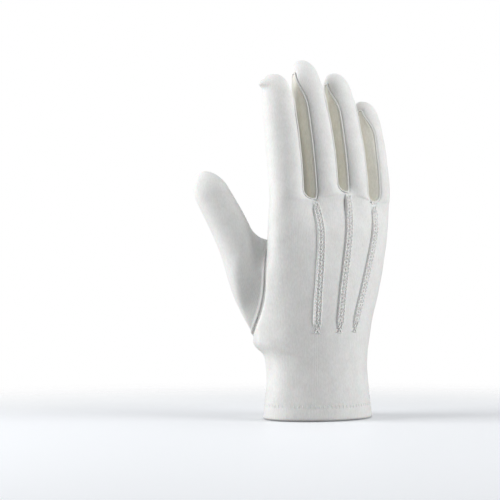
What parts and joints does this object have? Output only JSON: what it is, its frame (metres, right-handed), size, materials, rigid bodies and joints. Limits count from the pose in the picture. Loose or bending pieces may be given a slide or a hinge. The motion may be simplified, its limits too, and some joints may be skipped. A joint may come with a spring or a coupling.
{
  "type": "white parade glove",
  "caption": "White fabric dress glove for the right hand, with raised lines on the back, side strips between the fingers, a set-in thumb and a gathered wrist.",
  "frame": {"origin": "middle of the wrist opening, level with the lower edge of the hem", "axes": "+Z from the hem to the fingertips, -Y out of the back of the hand, -X towards the thumb side"},
  "size_m": [0.1324, 0.0658, 0.2405],
  "materials": {
    "white_knit": "matte fine-ribbed stretch knit",
    "strip_knit": "matte fine-ribbed stretch knit, in the side strips of the fingers",
    "point_stitching": "raised tucks of the same knit with rows of stitches"
  },
  "bodies": {
    "root": {"trank": "white_knit", "thumb": "white_knit", "fourchette_index_middle": "strip_knit", "fourchette_middle_ring": "strip_knit", "fourchette_ring_little": "strip_knit", "point_index": "point_stitching", "point_middle": "point_stitching", "point_ring": "point_stitching", "cuff_hem": "white_knit"}
  },
  "joints": []
}
